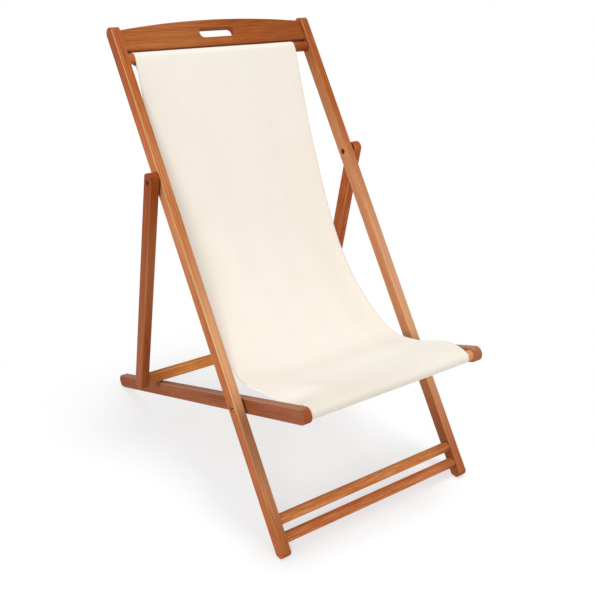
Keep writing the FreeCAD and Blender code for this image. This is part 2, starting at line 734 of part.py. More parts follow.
def strip(places):
    """The canvas section along a route of arcs."""
    off = num("sling_thick") / 2
    near = []
    far = []
    length = 0
    for (start, way), (end, arrive) in zip(places[:-1], places[1:]):
        middle = arc_between(start, way, end)[0]
        side = turned((end - start).normalize())
        edges = []
        for shift in (off, -off):
            tail = start + turned(way) * shift
            tip = end + turned(arrive) * shift
            crown = middle + side * shift
            flat = (crown - (tail + tip) * 0.5).Length < 1e-4
            edges.append(Part.LineSegment(tail, tip) if flat else Part.Arc(tail, crown, tip))
        near.append(edges[0].toShape())
        far.append(edges[1].toShape())
        length += (near[-1].Length + far[-1].Length) / 2
    caps = []
    for place, way in (places[0], places[-1]):
        caps.append(Part.LineSegment(place + turned(way) * off, place - turned(way) * off).toShape())
    wire = Part.Wire([caps[0]] + near + [caps[1]] + far[::-1])
    shift = across * (num("sling_width") / 2)
    face = Part.Face(wire)
    face.translate(shift * -1)
    return face.extrude(shift * 2), length


cloth, run = strip(route)
head_end = route[0][0]
knee_end = route[-1][0]
head_way = (head_end - head_seam).normalize()
knee_way = (knee_seam - knee_end).normalize()
head_flap, head_run = strip([(head_seam, head_way), (head_end, head_way)])
knee_flap, knee_run = strip([(knee_end, knee_way), (knee_seam, knee_way)])
sling = doc.addObject("Part::Feature", "sling")
sling.Label = "sling"
sling.Shape = cloth.fuse([head_flap, knee_flap]).removeSplitter()
pieces.append(sling)
doc.recompute()

faults = []
for item in doc.Objects:
    if "Invalid" in item.State or "Error" in item.State:
        faults.append(item.Name)
for piece in pieces:
    if piece.Shape.isNull() or not piece.Shape.isValid() or len(piece.Shape.Solids) != 1:
        faults.append(piece.Label)
if faults:
    raise RuntimeError("not sound: " + ", ".join(faults))

os.makedirs("parts", exist_ok=True)
for piece in pieces:
    piece.Shape.exportStep("parts/%s.step" % piece.Label)

print("seat pivot", [round(v, 3) for v in seat_pivot], "prop pivot", [round(v, 3) for v in prop_pivot])
print("fold %.4f" % math.degrees(fold), "prop swing %.4f" % (180 - math.degrees(swing)))
print("lean %.3f slope %.3f prop %.3f" % tuple(math.degrees(a) for a in (lean, slope, prop_lean)))
print("crossbar reach %.2f rise %.2f" % (bar_reach, bar_rise))
print("canvas flat length %.1f width %.1f" % (run + head_run + knee_run, num("sling_width")))
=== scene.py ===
import bpy
import bmesh
import json
import math
import random
from mathutils import Matrix, Vector


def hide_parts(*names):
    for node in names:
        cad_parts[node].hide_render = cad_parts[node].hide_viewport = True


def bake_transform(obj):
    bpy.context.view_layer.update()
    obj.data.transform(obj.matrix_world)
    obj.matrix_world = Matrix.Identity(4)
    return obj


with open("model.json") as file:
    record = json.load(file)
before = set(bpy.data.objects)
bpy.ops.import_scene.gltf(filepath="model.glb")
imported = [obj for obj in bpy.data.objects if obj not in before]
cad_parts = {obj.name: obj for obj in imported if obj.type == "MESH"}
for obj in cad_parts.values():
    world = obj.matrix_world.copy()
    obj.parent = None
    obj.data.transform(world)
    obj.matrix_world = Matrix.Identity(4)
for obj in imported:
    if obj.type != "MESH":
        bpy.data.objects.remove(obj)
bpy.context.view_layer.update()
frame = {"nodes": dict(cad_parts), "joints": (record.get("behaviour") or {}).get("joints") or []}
nodes = frame["nodes"]
scene = bpy.context.scene
print("frame loaded:", len(nodes), "wood, metal and cloth nodes")


# shader sockets as Python values
class Wire:
    def __init__(self, tree, socket=None):
        self.tree = tree
        self.socket = socket

    def make(self, kind, settings=None, sockets=None, out=0):
        node = self.tree.nodes.new(kind)
        for key, value in (settings or {}).items():
            if key == "stops":
                ramp = node.color_ramp.elements
                while len(ramp) < len(value):
                    ramp.new(0.5)
                for stop, (place, colour) in zip(ramp, value):
                    stop.position = place
                    stop.color = (*colour, 1)
            else:
                setattr(node, key, value)
        for key, value in (sockets or {}).items():
            if isinstance(value, Wire):
                self.tree.links.new(value.socket, node.inputs[key])
            else:
                node.inputs[key].default_value = value
        return Wire(self.tree, node.outputs[out] if len(node.outputs) else None)

    def math(self, operation, first, second=None):
        sockets = {0: first}
        if second is not None:
            sockets[1] = second
        return self.make("ShaderNodeMath", {"operation": operation}, sockets)

    def __add__(self, other):
        return self.math("ADD", self, other)

    def __radd__(self, other):
        return self.math("ADD", other, self)

    def __sub__(self, other):
        return self.math("SUBTRACT", self, other)

    def __rsub__(self, other):
        return self.math("SUBTRACT", other, self)

    def __mul__(self, other):
        return self.math("MULTIPLY", self, other)

    def __rmul__(self, other):
        return self.math("MULTIPLY", other, self)

    def __abs__(self):
        return self.math("ABSOLUTE", self)

    def sine(self):
        return self.math("SINE", self)

    def within(self, low, high):
        # 0 below low, 1 above high, smooth between
        sockets = {"Value": self, "From Min": low, "From Max": high}
        return self.make("ShaderNodeMapRange", {"interpolation_type": "SMOOTHSTEP"}, sockets)

    def stretched(self, factors):
        return self.make("ShaderNodeVectorMath", {"operation": "MULTIPLY"}, {0: self, 1: factors})

    def moved(self, offset):
        return self.make("ShaderNodeVectorMath", {"operation": "ADD"}, {0: self, 1: offset})

    def parts(self):
        split = self.make("ShaderNodeSeparateXYZ", None, {0: self}).socket.node
        return [Wire(self.tree, split.outputs[i]) for i in range(3)]

    def noise(self, scale, detail=2.0, rough=0.5):
        sockets = {"Vector": self, "Scale": scale, "Detail": detail, "Roughness": rough}
        return self.make("ShaderNodeTexNoise", None, sockets, "Fac")

    def tint(self, other, share, blend="MIX"):
        # colours go through Mix, never through Math
        node = self.tree.nodes.new("ShaderNodeMix")
        node.data_type = "RGBA"
        node.blend_type = blend
        slots = {"Factor_Float": share, "A_Color": self, "B_Color": other}
        for slot in node.inputs:
            value = slots.get(slot.identifier)
            if isinstance(value, Wire):
                self.tree.links.new(value.socket, slot)
            elif value is not None:
                slot.default_value = value
        return Wire(self.tree, [o for o in node.outputs if o.identifier == "Result_Color"][0])


def linear(red, green, blue):
    # screen colour out of 255 to the numbers that a shader takes
    shares = [value / 255 for value in (red, green, blue)]
    return [s / 12.92 if s <= 0.04045 else ((s + 0.055) / 1.055) ** 2.4 for s in shares]


def newMaterial(name):
    material = bpy.data.materials.new(name)
    material.use_nodes = True
    material.node_tree.nodes.clear()
    return material, Wire(material.node_tree)


def close(wire, shader):
    wire.make("ShaderNodeOutputMaterial", None, {"Surface": shader})


# camera, from the photograph's viewing angle
view = {
    "place": (-1.13375, -1.57475, 1.3063),
    "yaw": 36.84,  # degrees, from straight along y
    "pitch": 25.31,
    "roll": -2.55,
    "focalPixels": 855.42,
    "pictureWidth": 595,
    "sensorWidth": 36,
}


def placeCamera():
    yaw, pitch, roll = (math.radians(view[k]) for k in ("yaw", "pitch", "roll"))
    ahead = Vector((math.sin(yaw) * math.cos(pitch), math.cos(yaw) * math.cos(pitch), -math.sin(pitch)))
    right = Vector((math.cos(yaw), -math.sin(yaw), 0))
    down = ahead.cross(right)
    sideways = right * math.cos(roll) + down * math.sin(roll)
    downwards = down * math.cos(roll) - right * math.sin(roll)
    camera = bpy.data.objects.new("camera", bpy.data.cameras.new("camera"))
    camera.data.sensor_fit = "HORIZONTAL"
    camera.data.sensor_width = view["sensorWidth"]
    camera.data.lens = view["focalPixels"] / view["pictureWidth"] * view["sensorWidth"]
    turn = Matrix((sideways, -downwards, -ahead)).transposed()
    camera.matrix_world = Matrix.Translation(view["place"]) @ turn.to_4x4()
    scene.collection.objects.link(camera)
    scene.camera = camera


placeCamera()
scene.view_settings.view_transform = "Standard"
print("camera set")


# light and floor
light = {
    "sky": 0.375,
    "aim": (0, 0, 0.4),  # all three lamps face this place
    "key": {"place": (0.7, -0.1, 5.2), "size": 2.2, "power": 108},
    "fill": {"place": (-3.5, -4.3, 2.7), "size": 2.2, "power": 152},
    "side": {"place": (-6.0, 0.6, 1.1), "size": 4.0, "power": 140},
}
floor = {
    "half": 30.0,
    "level": -0.0004,
    "glow": 0.54,  # glow and colour: how the floor looks
    "colour": (0.510, 0.520, 0.528),
    "bounce": 0.8,  # what it sends back up
    "shadowMiddle": (-0.08, -0.12, 0),
    "whiteFrom": 0.44,  # the shadow fades out between these distances
    "whiteTo": 0.95,
}


def seenDirectly(wire):
    path = wire.make("ShaderNodeLightPath").socket.node
    rays = ("Is Camera Ray", "Is Glossy Ray", "Is Transmission Ray")
    camera, glossy, through = [Wire(wire.tree, path.outputs[ray]) for ray in rays]
    return wire.math("MAXIMUM", camera, wire.math("MAXIMUM", glossy, through))


def lamp(name, spec):
    item = bpy.data.objects.new(name, bpy.data.lights.new(name, "AREA"))
    item.data.shape = "DISK"
    item.data.size = spec["size"]
    item.data.energy = spec["power"]
    item.location = spec["place"]
    aim = Vector(light["aim"]) - Vector(spec["place"])
    item.rotation_euler = aim.to_track_quat("-Z", "Y").to_euler()
    scene.collection.objects.link(item)


def lightRoom():
    world = bpy.data.worlds.new("studio")
    scene.world = world
    world.use_nodes = True
    world.node_tree.nodes.clear()
    wire = Wire(world.node_tree)
    strength = light["sky"] + seenDirectly(wire) * (1 - light["sky"])
    sky = wire.make("ShaderNodeBackground", None, {"Color": (1, 1, 1, 1), "Strength": strength})
    wire.make("ShaderNodeOutputWorld", None, {"Surface": sky})
    for name in ("key", "fill", "side"):
        lamp(name + "Lamp", light[name])


def layFloor():
    half = floor["half"]
    mesh = bpy.data.meshes.new("floor")
    corners = [(-half, -half), (half, -half), (half, half), (-half, half)]
    mesh.from_pydata([(x, y, floor["level"]) for x, y in corners], [], [(0, 1, 2, 3)])
    ground = bpy.data.objects.new("floor", mesh)
    scene.collection.objects.link(ground)
    material, wire = newMaterial("paleFloor")
    glow = wire.make("ShaderNodeEmission", None, {"Color": (1, 1, 1, 1), "Strength": floor["glow"]})
    dim = wire.make("ShaderNodeBsdfDiffuse", None, {"Color": (*floor["colour"], 1)})
    shown = wire.make("ShaderNodeAddShader", None, {0: glow, 1: dim})
    place = wire.make("ShaderNodeTexCoord", out="Object")
    apart = {0: place, 1: floor["shadowMiddle"]}
    away = wire.make("ShaderNodeVectorMath", {"operation": "DISTANCE"}, apart, "Value")
    white = wire.make("ShaderNodeEmission", None, {"Color": (1, 1, 1, 1), "Strength": 1.0})
    faded = away.within(floor["whiteFrom"], floor["whiteTo"])
    shown = wire.make("ShaderNodeMixShader", None, {0: faded, 1: shown, 2: white})
    plain = wire.make("ShaderNodeBsdfDiffuse", None, {"Color": (*[floor["bounce"]] * 3, 1)})
    close(wire, wire.make("ShaderNodeMixShader", None, {0: seenDirectly(wire), 1: plain, 2: shown}))
    mesh.materials.append(material)


lightRoom()
layFloor()
print("light and floor set")


# how the three frames lean, measured from a pivot to a bar of each
across = Vector((1, 0, 0))
pivots = {joint["name"]: Vector(joint["pos_m"]) for joint in frame["joints"]}


def boxOf(points):
    low = Vector([min(p[i] for p in points) for i in range(3)])
    high = Vector([max(p[i] for p in points) for i in range(3)])
    return low, high


def reachAndLean(pivot, bar):
    # to the millimetre, and to a thousandth of a degree from upright
    low, high = boxOf([v.co for v in nodes[bar].data.vertices])
    way = (low + high) / 2 - pivot
    return round(math.hypot(way.y, way.z), 3), round(math.degrees(math.atan2(way.y, way.z)), 3)


def inPlane(angle):
    turn = math.radians(angle)
    return Vector((0, math.sin(turn), math.cos(turn)))


headReach, backLean = reachAndLean(pivots["seat_fold"], "head_dowel")
kneeReach, seatLean = reachAndLean(pivots["seat_fold"], "seat_dowel")
_, propLean = reachAndLean(pivots["prop_fold"], "prop_crossbar")
backUp = inPlane(backLean)
seatBack = -inPlane(seatLean)
propDown = inPlane(propLean)
backFront = across.cross(backUp)
seatTop = across.cross(seatBack)
propFront = propDown.cross(across)
print("back, seat and prop stand at", backLean, seatLean, propLean, "degrees")


# wood: oiled orange-brown hardwood, grain along each piece
wood = {
    "dark": linear(122, 54, 18),
    "mid": linear(174, 94, 40),
    "light": linear(208, 138, 78),
    # the next two are painted light: a highlight colour for lit stretches and a shade colour for shaded ones
    "paintedLit": linear(226, 178, 130),
    "shaded": linear(104, 48, 22),
    # painted highlight colour for the eased edges
    "paintedHighlight": linear(238, 190, 138),
    "cut": linear(160, 70, 24),
    # the next two: the painted shade colour for corners and joints, and how far that shade reaches
    "corner": linear(106, 46, 20),
    "cornerShadeReach": 0.012,
    "ringPitch": 0.0042,
    "ringWander": 0.028,
    "pithAside": (0.03, 0.07),  # least and most distance of the pith from the piece's middle
    "pithBelow": (0.02, 0.06),
    "faceFrom": 0.7,  # of the half depth, where the face that depth points to begins
    "edgeWidth": 0.0026,
    "highlightFrom": -0.42,  # along the piece, the painted edge highlight starts here
    "highlightTo": -0.24,  # and fully from here
    # noise cells in a metre, over the thickness, the length and the depth
    "wander": (9, 2.2, 9),
    "fibres": (560, 11, 560),
    "streaks": (150, 2.4, 150),
    "flecks": (260, 26, 260),
    "clouds": (16, 2.6, 16),
    "pores": (1500, 42, 1500),
    "speckle": (900, 900, 900),
}
# up: the way the piece's depth points, else worked out from across and along
# tone: red, green, blue against the common colour, partly the piece's own colour and partly painted light for
# how it looks lit
# edge amount and ends: how much painted highlight its eased edges get, and how much dark end grain it has
# stretches of painted highlight (lighter on faces that look lit) and of painted shade (darker where shade
# falls): place from the middle, spread, amount on the face that depth points to, amount on the other faces
timbers = {
    "back_rail_left": {"along": backUp, "seed": 1, "tone": (0.92, 0.86, 0.86), "paintedHighlight": 1.5,
                       "paintedLit": [(-0.18, 0.44, 0.78, 0.08), (0.15, 0.28, 0.0, 0.34), (-0.46, 0.22, 0.32, 0.06),
                                (0.28, 0.22, 0.20, 0.0)],
                       "shaded": [(-0.325, 0.05, 0.42, 0.0), (-0.37, 0.15, 0.50, 0.0),
                                  (0.60, 0.22, 0.0, 0.35)]},
    "back_rail_right": {"along": backUp, "seed": 2, "tone": (0.88, 0.80, 0.84), "paintedHighlight": 0.9,
                        "paintedLit": [(-0.15, 0.56, 1.00, 0.44), (0.26, 0.42, 0.0, 0.46)],
                        "shaded": [(-0.52, 0.26, 0.0, 0.62), (0.66, 0.20, 0.40, 0.10)]},
    "seat_rail_left": {"along": seatBack, "seed": 3, "tone": (0.55, 0.45, 0.54),
                       "paintedLit": [(0.05, 0.70, 1.00, 0.07), (-0.42, 0.34, 0.62, 0.16),
                                (0.42, 0.14, 0.50, 0.0)],
                       "shaded": [(0.205, 0.034, 1.0, 0.0)], "ends": 0.75},
    "seat_rail_right": {"along": seatBack, "seed": 4, "tone": (0.72, 0.64, 0.72),
                        "paintedLit": [(-0.20, 0.60, 0.40, 0.10), (-0.46, 0.12, 0.50, 0.40)], "ends": 0.4},
    "prop_strut_left": {"along": propDown, "up": propFront, "seed": 5, "tone": (0.57, 0.40, 0.30),
                        "paintedLit": [(0.32, 0.50, 0.16, 0.34), (-0.06, 0.26, 0.50, 0.0)]},
    "prop_strut_right": {"along": propDown, "seed": 6, "tone": (0.98, 0.86, 0.98)},
    "crest_rail": {"along": across, "up": backUp, "seed": 7, "tone": (0.80, 0.72, 0.58),
                   "paintedLit": [(-0.12, 0.20, 0.12, 0.12)], "shaded": [(0.24, 0.24, 0.30, 0.30)]},
    "head_dowel": {"along": across, "up": backUp, "seed": 8, "tone": (1.15, 1.08, 1.10),
                   "shaded": [(0.26, 0.14, 0.80, 0.80)]},
    "foot_dowel_upper": {"along": across, "up": backUp, "seed": 9, "tone": (1.42, 1.70, 2.40),
                         "shaded": [(0.25, 0.07, 0.55, 0.55)]},
    "foot_dowel_lower": {"along": across, "up": backUp, "seed": 10, "tone": (1.28, 1.40, 1.95),
                         "shaded": [(0.25, 0.07, 0.55, 0.55)]},
    "seat_dowel": {"along": across, "up": seatTop, "seed": 11, "tone": (1.15, 1.12, 1.10),
                   "paintedLit": [(0.0, 0.60, 0.80, 0.80)]},
    "prop_crossbar": {"along": across, "up": propDown, "seed": 12, "tone": (1.62, 2.00, 2.30),
                      "shaded": [(-0.30, 0.13, 0.80, 0.80)]},
}


def pieceFrame(name, spec):
    # the piece's own axes (thickness, length, depth), its middle and its half sizes
    along = spec["along"]
    depth = spec.get("up", across.cross(along))
    thick = along.cross(depth)
    turn = Matrix((thick, along, depth)).transposed()
    low, high = boxOf([turn.transposed() @ v.co for v in nodes[name].data.vertices])
    return turn, turn @ ((low + high) / 2), (high - low) / 2


def woodMaterial(name, spec):
    turn, middle, half = pieceFrame(name, spec)
    material, wire = newMaterial("wood_" + name)
    rng = random.Random(spec["seed"])
    raw = wire.make("ShaderNodeTexCoord", out="Object")
    facing = wire.make("ShaderNodeTexCoord", out="Normal")
    local = wire.make("ShaderNodeMapping", {"vector_type": "TEXTURE"},
                      {"Vector": raw, "Location": middle, "Rotation": turn.to_euler("XYZ")})
    shift = [rng.uniform(-3, 3) for _ in range(3)]
    grain = local.moved(shift)
    thick, length, depth = local.parts()

    # growth rings about a pith line beside the piece, wandering along the length
    pithX = rng.uniform(*wood["pithAside"]) * rng.choice((-1, 1))
    pithZ = rng.uniform(*wood["pithBelow"]) * rng.choice((-1, 1))
    wander = grain.stretched(wood["wander"]).noise(1, 3) * wood["ringWander"]
    fromPith = (thick + pithX) * (thick + pithX) + (depth + pithZ) * (depth + pithZ)
    radius = wire.math("SQRT", fromPith) + wander
    rings = (radius * (2 * math.pi / wood["ringPitch"])).sine() * 0.5 + 0.5

    fibres = grain.stretched(wood["fibres"]).noise(1, 4, 0.65)
    streaks = grain.stretched(wood["streaks"]).noise(1, 3, 0.6)
    flecks = grain.stretched(wood["flecks"]).noise(1, 2)
    clouds = grain.stretched(wood["clouds"]).noise(1, 2)
    pores = grain.stretched(wood["pores"]).noise(1, 1).within(0.60, 0.72)

    shade = streaks * 0.30 + flecks * 0.30 + clouds * 0.34 + fibres * 0.42 + rings * 0.12 - 0.21
    stops = [(0.22, wood["dark"]), (0.50, wood["mid"]), (0.80, wood["light"])]
    colour = wire.make("ShaderNodeValToRGB", {"stops": stops}, {"Fac": shade})
    colour = colour.tint((*wood["dark"], 1), pores * 0.35)
    front = depth.within(half.z * wood["faceFrom"], half.z)
    # painted highlight on lit stretches and painted shade on shaded ones, face by face
    for paintedKind in ("paintedLit", "shaded"):
        for place, spread, onFront, onSides in spec.get(paintedKind, []):
            near = 1 - abs(length - place).within(0, spread)
            amount = front * (onFront - onSides) + onSides
            colour = colour.tint((*wood[paintedKind], 1), near * amount * (0.45 + streaks * 0.9))

    # painted highlight: the eased edges are painted pale where two faces meet, as if they caught the light
    edge = wood["edgeWidth"]
    nearSide = abs(thick).within(half.x - edge, half.x)
    nearFront = abs(depth).within(half.z - edge, half.z)
    paintedSpan = length.within(wood["highlightFrom"], wood["highlightTo"]) * spec.get("paintedHighlight", 0.4)
    colour = colour.tint((*wood["paintedHighlight"], 1), nearSide * nearFront * fibres * paintedSpan)
    # each piece's tone: partly its own colour, partly painted light that brightens or darkens it as it looks
    # lit
    colour = colour.tint((*spec["tone"], 1), 1.0, "MULTIPLY")

    # end grain soaks up oil and goes darker
    turned = {0: facing, 1: spec["along"]}
    ends = wire.make("ShaderNodeVectorMath", {"operation": "DOT_PRODUCT"}, turned, "Value")
    endMask = abs(ends).within(0.55, 0.95)
    speckle = grain.stretched(wood["speckle"]).noise(1, 2)
    colour = colour.tint((*wood["cut"], 1), endMask * (0.35 + speckle * 0.4) * spec.get("ends", 1.0))

    # painted shade: darker in corners and where pieces meet, by how enclosed each point is
    reach = {"Distance": wood["cornerShadeReach"]}
    openness = wire.make("ShaderNodeAmbientOcclusion", {"samples": 8}, reach, "AO")
    colour = colour.tint((*wood["corner"], 1), (1 - openness.within(0.20, 0.75)) * 0.6)

    rough = 0.46 + fibres * 0.16 + endMask * 0.18
    height = fibres * 0.6 + rings * 0.2 - pores * 0.9
    bump = wire.make("ShaderNodeBump", None, {"Strength": 0.16, "Distance": 0.0005, "Height": height})
    shader = wire.make("ShaderNodeBsdfPrincipled", None, {
        "Base Color": colour, "Roughness": rough, "Normal": bump, "Specular IOR Level": 0.10})
    close(wire, shader)
    return material


for name, spec in timbers.items():
    mesh = nodes[name].data
    mesh.materials.clear()
    mesh.materials.append(woodMaterial(name, spec))
print("wood finished on", len(timbers), "pieces")


# brass pivots
brass = {
    "bright": linear(206, 164, 98),
    "dull": linear(118, 82, 44),
    "recessShade": linear(38, 26, 16),
    "recessShadeReach": 0.003,
    "roughness": 0.32,
    "scratches": (90, 1400, 1400),
    "tone": {"seat": (1.25, 1.15, 1.0), "prop": (0.38, 0.21, 0.10)},  # the prop's heads darkened: painted shade standing in for their shadowed recesses
}


def brassMaterial(pivot):
    material, wire = newMaterial("brass_" + pivot)
    raw = wire.make("ShaderNodeTexCoord", out="Object")
    patina = raw.noise(260, 3, 0.6).within(0.38, 0.66)
    scratch = raw.stretched(brass["scratches"]).noise(1, 2)
    stops = [(0.0, brass["bright"]), (1.0, brass["dull"])]
    colour = wire.make("ShaderNodeValToRGB", {"stops": stops}, {"Fac": patina})
    # the prop's darker tone is painted shade for its recessed heads
    colour = colour.tint((*brass["tone"][pivot], 1), 1.0, "MULTIPLY")
    # painted shade: darker where faces meet in a corner, as in the key sockets
    reach = {"Distance": brass["recessShadeReach"]}
    corner = wire.make("ShaderNodeAmbientOcclusion", {"samples": 8}, reach, "AO")
    colour = colour.tint((*brass["recessShade"], 1), 1 - corner.within(0.32, 0.84))
    bump = wire.make("ShaderNodeBump", None, {"Strength": 0.08, "Distance": 0.0003, "Height": scratch})
    rough = brass["roughness"] + patina * 0.22
    shader = wire.make("ShaderNodeBsdfPrincipled", None, {
        "Base Color": colour, "Metallic": 1.0, "Roughness": rough, "Normal": bump})
    close(wire, shader)
    return material


for pivot in brass["tone"]:
    metal = brassMaterial(pivot)
    for name, item in nodes.items():
        if name.startswith(pivot + "_pivot_"):
            item.data.materials.clear()
            item.data.materials.append(metal)
print("brass finished")


# sling: one length of canvas, hemmed down both sides, with a sewn pocket round each dowel
sling = {
    "width": 0.454,
    "thick": 0.0009,
    "hem": 0.017,
    "hemGap": 0.00095,
    "pocketRadius": 0.01395,
    "pocketSeam": 0.0205,
    "seamAllowance": 0.010,
    "flapGap": 0.0026,
    # the hanging line: (along the rails from the seat pivot, behind the back or above the seat)
    "behindBack": [(0.480, 0.076), (0.248, 0.0855), (0.066, 0.0105)],
    "aboveSeat": [(0.072, 0.0318), (0.184, 0.0322)],
    "shift": (-0.0140, -0.0086),  # it sits a little to one side on its dowels, more at the head
    "drawnIn": (0.004, 0.005),  # the cloth narrows at the seat dowel, and at its top right corner
    "cornerFrom": 0.75,  # of the half width, where that corner begins
    "cornerBelow": 0.012,  # how far into the hang it reaches
    "crown": 0.003,  # the middle stands forward of the edges
    "edgeFall": (0.0030, -0.0024),  # the left edge falls back from it, the right edge lifts
    "edgeRoll": 0.050,
    # the left hem runs straight to its dowel, in front of the pivot
    "taut": {"from": 0.030, "to": 0.232, "deep": 0.0170, "reach": 0.080, "skew": 1.7},
    "ripple": 0.0006,
    # soft pulls (across, below the head, turn, length, width, depth)
    "pulls": [(0.125, 0.20, 90, 0.16, 0.034, 0.0036), (0.190, 0.150, 52, 0.050, 0.011, 0.0024),
              (-0.150, 0.42, 80, 0.14, 0.030, 0.0012), (0.05, 0.62, 20, 0.12, 0.030, 0.0010)],
    "step": 0.004,
    "fineStep": 0.002,
    "bendBelowHead": 0.06,  # between these two places it follows both frames
    "bendBehindKnee": 0.05,
}
seatPivot = pivots["seat_fold"]
headCentre = seatPivot + backUp * headReach
kneeCentre = seatPivot - seatBack * kneeReach


def hangingLine():
    # side view of the canvas, from the front of the head dowel to the top of the seat dowel
    radius = sling["pocketRadius"]
    middle = [seatPivot + backUp * at - backFront * sag for at, sag in sling["behindBack"]]
    middle += [seatPivot - seatBack * at + seatTop * rise for at, rise in sling["aboveSeat"]]
    first = headCentre + backFront * radius
    last = kneeCentre + seatTop * radius
    final = len(middle) + 1
    for _ in range(30):  # the ends settle where the line leaves its dowels at a tangent
        stops = [first] + middle + [last]
        ways = [None] + [(stops[i + 1] - stops[i - 1]).normalized() for i in range(1, final)] + [None]
        for end, inner in ((0, 1), (final, final - 1)):
            chord = (stops[max(end, inner)] - stops[min(end, inner)]).normalized()
            ways[end] = chord * (2 * ways[inner].dot(chord)) - ways[inner]
        first = headCentre - across.cross(ways[0]) * radius
        last = kneeCentre - across.cross(ways[final]) * radius
    line = []
    for start, end, leave, arrive in zip(stops[:-1], stops[1:], ways[:-1], ways[1:]):
        span = (end - start).length
        count = max(6, round(span / sling["fineStep"]))
        for t in (i / count for i in range(count)):
            line.append(start * (2 * t**3 - 3 * t**2 + 1) + leave * (span * (t**3 - 2 * t**2 + t))
                        + end * (3 * t**2 - 2 * t**3) + arrive * (span * (t**3 - t**2)))
    return line + [last]


def lengthsAlong(line):
    total = [0.0]
    for a, b in zip(line[:-1], line[1:]):
        total.append(total[-1] + (b - a).length)
    return total


def pocketTurn(centre, start, sense):
    # round the dowel from where the hanging line touches it, to where the flap leaves for its seam
    turn = sense * (2 * math.pi - 2 * math.atan2(sling["pocketSeam"], sling["pocketRadius"]))
    steps = 40
    arm = start - centre
    return [centre + Matrix.Rotation(turn * i / steps, 3, "X") @ arm for i in range(1, steps + 1)]


def sewnFlap(line, leaving):
    # from the pocket back to the seam, then flat against the canvas for the allowance
    travelled = lengthsAlong(line)
    lying = []
    for i, place in enumerate(line[:-1]):
        if sling["pocketSeam"] <= travelled[i] <= sling["pocketSeam"] + sling["seamAllowance"]:
            way = (line[i + 1] - place).normalized()
            side = across.cross(way)
            side *= math.copysign(sling["flapGap"], side.dot(leaving - place))
            lying.append(place + side)
    steps = 12
    bridge = [leaving.lerp(lying[0], i / steps) for i in range(1, steps)]
    return bridge + lying


def slingRoute():
    hang = hangingLine()
    headLoop = pocketTurn(headCentre, hang[0], -1)
    kneeLoop = pocketTurn(kneeCentre, hang[-1], 1)
    headEnd = headLoop + sewnFlap(hang, headLoop[-1])
    kneeEnd = kneeLoop + sewnFlap(hang[::-1], kneeLoop[-1])
    line = headEnd[::-1] + hang + kneeEnd
    for _ in range(5):  # cloth has no sharp folds
        inner = [(a + b * 2 + c) / 4 for a, b, c in zip(line[:-2], line[1:-1], line[2:])]
        line = [line[0]] + inner + [line[-1]]
    travelled = lengthsAlong(line)
    count = round(travelled[-1] / sling["step"])
    even, index = [], 0
    for i in range(count + 1):
        want = travelled[-1] * i / count
        while index < len(line) - 2 and travelled[index + 1] < want:
            index += 1
        share = (want - travelled[index]) / (travelled[index + 1] - travelled[index])
        even.append(line[index].lerp(line[index + 1], share))
    pockets = len(headEnd), len(headEnd) + len(hang)
    return even, travelled[-1], (travelled[pockets[0]], travelled[pockets[1]])


slingLine, slingLength, hangSpan = slingRoute()
print("canvas %.3f m long, hanging from %.3f to %.3f" % (slingLength, *hangSpan))


def slingSection():
    # across the canvas: (place across, depth under the face), folded under at both hems
    half = sling["width"] / 2
    gap = sling["hemGap"]
    bend = gap / 2
    roundFold = (0.6, 1.2, 1.9, 2.6)  # radians
    inner = [half - sling["hem"] * share for share in (1.0, 0.6, 0.2)]
    turn = [(half + bend * math.sin(a), bend + bend * math.cos(a)) for a in roundFold]
    rightHem = [(x, 0.0) for x in inner] + turn[::-1] + [(x, gap) for x in reversed(inner)]
    middle = 40
    span = half - sling["hem"]
    face = [(-span + 2 * span * i / middle, 0.0) for i in range(1, middle)]
    leftHem = [(-x, z) for x, z in reversed(rightHem)]
    return leftHem + face + rightHem


def hangShare(travel):
    # 0 at the pockets, 1 half way down the hang
    start, end = hangSpan
    t = min(1, max(0, (travel - start) / (end - start)))
    return math.sin(math.pi * t) ** 0.8 if 0 < t < 1 else 0.0


def standForward(x, travel):
    # the crown of the middle over its edges, with faint long ripples (radians in a metre)
    half = sling["width"] / 2
    fall = sling["edgeFall"][0 if x < 0 else 1]
    edge = min(1, max(0, (abs(x) - (half - sling["edgeRoll"])) / sling["edgeRoll"]))
    wave = math.sin(x * 61 + 1.3 * math.sin(travel * 5.1)) + 0.6 * math.sin(x * 23 - travel * 3.7 + 1.1)
    pulled = 0.0
    for atX, below, turn, length, width, depth in sling["pulls"]:
        dx, dy = x - atX, travel - hangSpan[0] - below
        cos, sin = math.cos(math.radians(turn)), math.sin(math.radians(turn))
        lengthways, sideways = dx * cos + dy * sin, dy * cos - dx * sin
        pulled += depth * math.exp(-(lengthways / length) ** 2 - (sideways / width) ** 2)
    return hangShare(travel) * (sling["crown"] - fall * edge ** 2 + sling["ripple"] * wave) - pulled


def hemDrop(x, place):
    # near the seat dowel the left hem is tighter than the middle, so it lies lower
    taut = sling["taut"]
    forward = -(place - seatPivot).dot(seatBack)
    share = (forward - taut["from"]) / (taut["to"] - taut["from"])
    near = max(0, 1 - (x + sling["width"] / 2) / taut["reach"])
    if not 0 < share < 1:
        return 0.0
    along = math.sin(math.pi * share ** taut["skew"]) ** 2
    return taut["deep"] * along * near * near * (3 - 2 * min(1, near))


